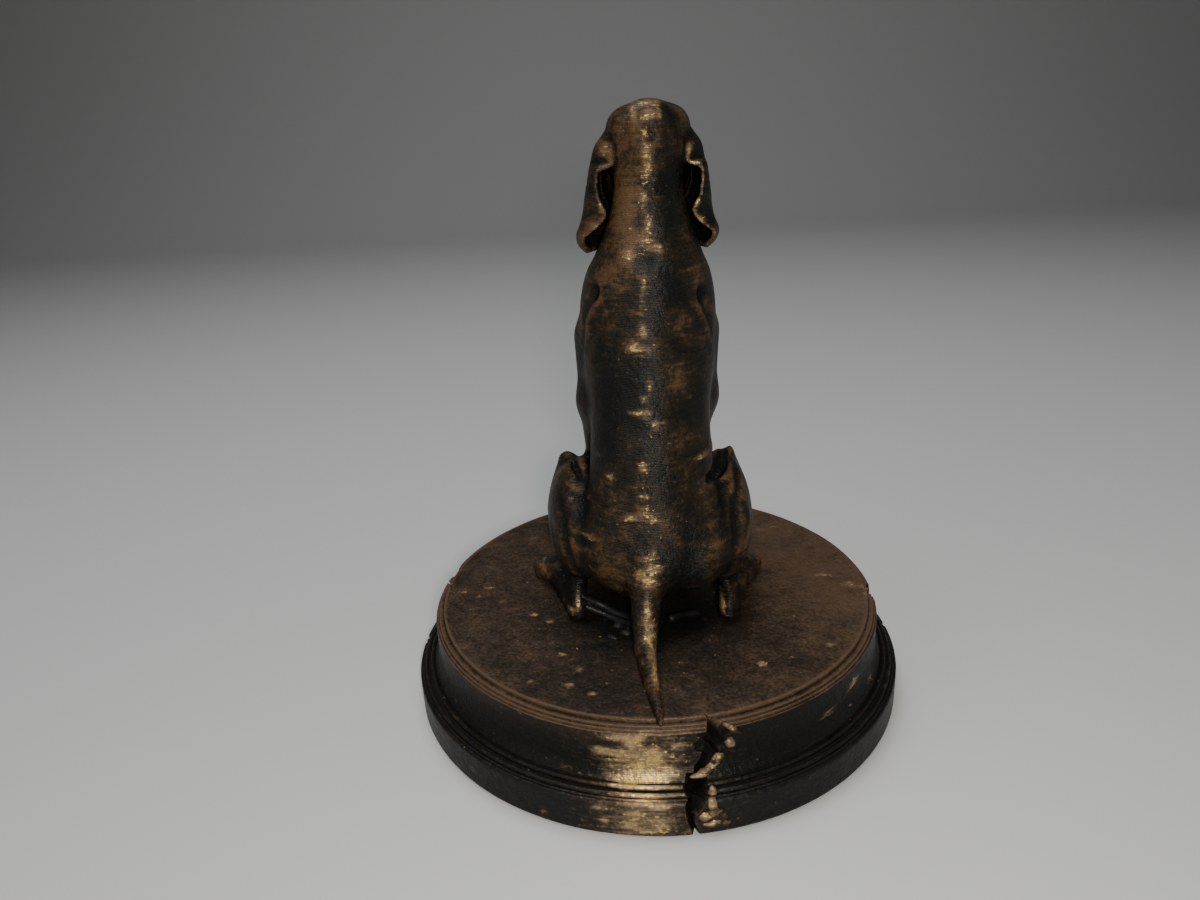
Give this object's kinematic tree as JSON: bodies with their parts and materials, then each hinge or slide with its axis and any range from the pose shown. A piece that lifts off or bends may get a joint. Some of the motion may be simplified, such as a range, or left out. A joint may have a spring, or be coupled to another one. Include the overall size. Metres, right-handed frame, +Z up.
{
  "type": "bloodhound statue",
  "caption": "Small printed statue of a seated bloodhound on a round, cracked plinth, in black plastic rubbed with bronze.",
  "frame": {"origin": "centre of the plinth's round underside, on the surface that the statue stands on", "axes": "+Z up, and -Y the way the hound faces"},
  "size_m": [0.0694, 0.0694, 0.0803],
  "materials": {
    "hound_finish": "black plastic rubbed with copper-bronze paint on the high places",
    "plinth_finish": "black plastic brushed with brown bronze paint, satin"
  },
  "bodies": {
    "root": {"hound": "hound_finish", "plinth": "plinth_finish"}
  },
  "joints": []
}
